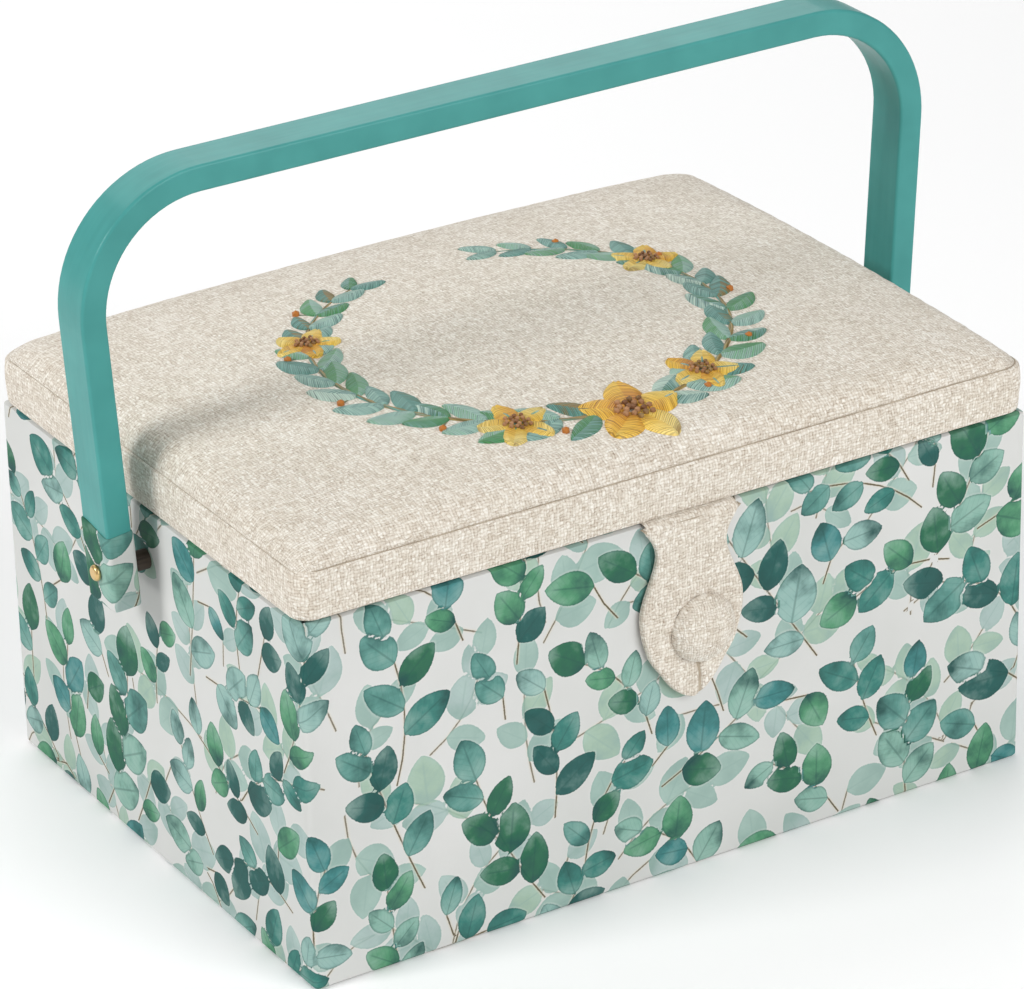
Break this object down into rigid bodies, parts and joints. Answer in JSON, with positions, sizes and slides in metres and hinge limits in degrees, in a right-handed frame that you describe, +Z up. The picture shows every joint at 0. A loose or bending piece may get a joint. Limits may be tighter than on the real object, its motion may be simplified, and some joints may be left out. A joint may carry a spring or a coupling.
{
  "type": "sewing box",
  "caption": "Cloth-covered sewing box with a padded hinged lid, a swinging bow handle, a button clasp tab and a lift-out tray.",
  "frame": {"origin": "centre of the rest face under the base", "axes": "+X along the long side, -Y towards the front with the clasp tab, +Z up"},
  "size_m": [0.3042, 0.199, 0.232],
  "materials": {
    "printed_cloth": "off-white cotton printed all over with watercolour leaf sprigs in teal, green and blue-grey",
    "linen": "natural linen, plain weave",
    "lining_cloth": "plain cream cotton over card",
    "board": "raw fibreboard",
    "base_paper": "matt cream base paper",
    "foam": "wadding",
    "painted_wood": "teal gloss paint on bent wood",
    "spacer_wood": "turned beech, stained dark",
    "brass": "satin brass",
    "steel": "plated steel",
    "tray_plastic": "moulded ivory polystyrene, satin"
  },
  "bodies": {
    "box": {"base_board": "board", "base_sheet": "base_paper", "front_wall": "board", "back_wall": "board", "left_wall": "board", "right_wall": "board", "printed_cover": "printed_cloth", "lining_floor": "lining_cloth", "lining_front": "lining_cloth", "lining_back": "lining_cloth", "lining_left": "lining_cloth", "lining_right": "lining_cloth", "tray_rail_front": "lining_cloth", "tray_rail_back": "lining_cloth", "magnet_keeper": "steel", "hinge_cloth_body": "linen", "pivot_bolt_left": "brass", "pivot_bolt_right": "brass", "pivot_spacer_left": "spacer_wood", "pivot_spacer_right": "spacer_wood", "pivot_washer_left": "brass", "pivot_washer_right": "brass", "pivot_nut_left": "brass", "pivot_nut_right": "brass"},
    "lid": {"lid_board": "board", "lid_rail_front": "board", "lid_rail_back": "board", "lid_rail_left": "board", "lid_rail_right": "board", "lid_padding": "foam", "lid_cover": "linen", "lid_band_cover": "linen", "lid_lining": "lining_cloth", "lid_pocket": "printed_cloth", "pincushion": "linen", "hinge_cloth_lid": "linen", "clasp_strip": "linen"},
    "clasp": {"clasp_board": "board", "clasp_cover": "linen", "clasp_button": "linen", "clasp_magnet": "steel"},
    "handle": {"handle_bow": "painted_wood", "handle_sleeve_left": "printed_cloth", "handle_sleeve_right": "printed_cloth"},
    "tray": {"tray": "tray_plastic"}
  },
  "joints": [
    {"name": "lid_hinge", "type": "hinge", "parent": "box", "child": "lid", "pos_m": [0, 0.0955, 0.12265], "axis": [-1, 0, 0], "range_deg": [0, 90]},
    {"name": "handle_swing", "type": "hinge", "parent": "box", "child": "handle", "pos_m": [0, 0, 0.1056], "axis": [-1, 0, 0], "range_deg": [-118, 118]},
    {"name": "clasp_hinge", "type": "hinge", "parent": "lid", "child": "clasp", "pos_m": [0.0035, -0.0954, 0.1223], "axis": [-1, 0, 0], "range_deg": [0, 90]},
    {"name": "tray_lift", "type": "slide", "parent": "box", "child": "tray", "axis": [0, 0, 1], "range_m": [0, 0.014]}
  ],
  "couplings": [
    {"joint": "handle_swing", "follows": "lid_hinge", "ratio": 1.3}
  ]
}
